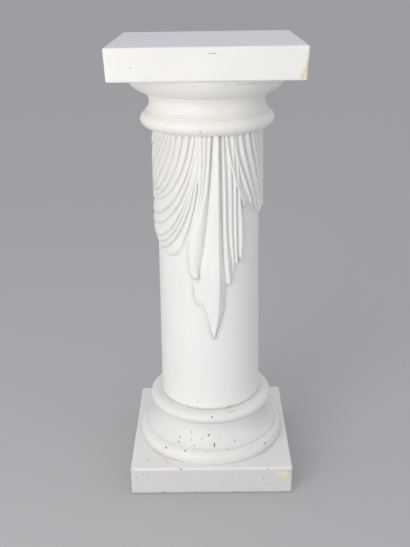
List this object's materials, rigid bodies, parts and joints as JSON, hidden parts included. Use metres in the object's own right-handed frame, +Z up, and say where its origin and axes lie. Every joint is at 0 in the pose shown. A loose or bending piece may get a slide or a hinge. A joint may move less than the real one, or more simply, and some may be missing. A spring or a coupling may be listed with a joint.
{
  "type": "draped column pedestal",
  "caption": "Free-standing column pedestal: square abacus, moulded capital, tapering shaft with carved drapery and a long tail, moulded base on a square plinth. Holds a bust, vase or lamp.",
  "frame": {"origin": "middle of the underside of the plinth, on the floor", "axes": "+Z up along the column's axis, -Y towards the front of the drapery, +X to the right of it"},
  "size_m": [0.309, 0.309, 0.8],
  "materials": {
    "base": "white paint on cast plaster, matte, scuffed and chipped",
    "shaft": "white paint on cast plaster, satin, carved drapery",
    "capital": "white paint on cast plaster, matte, small cream chips"
  },
  "bodies": {
    "root": {"base": "base", "shaft": "shaft", "capital": "capital"}
  },
  "joints": []
}
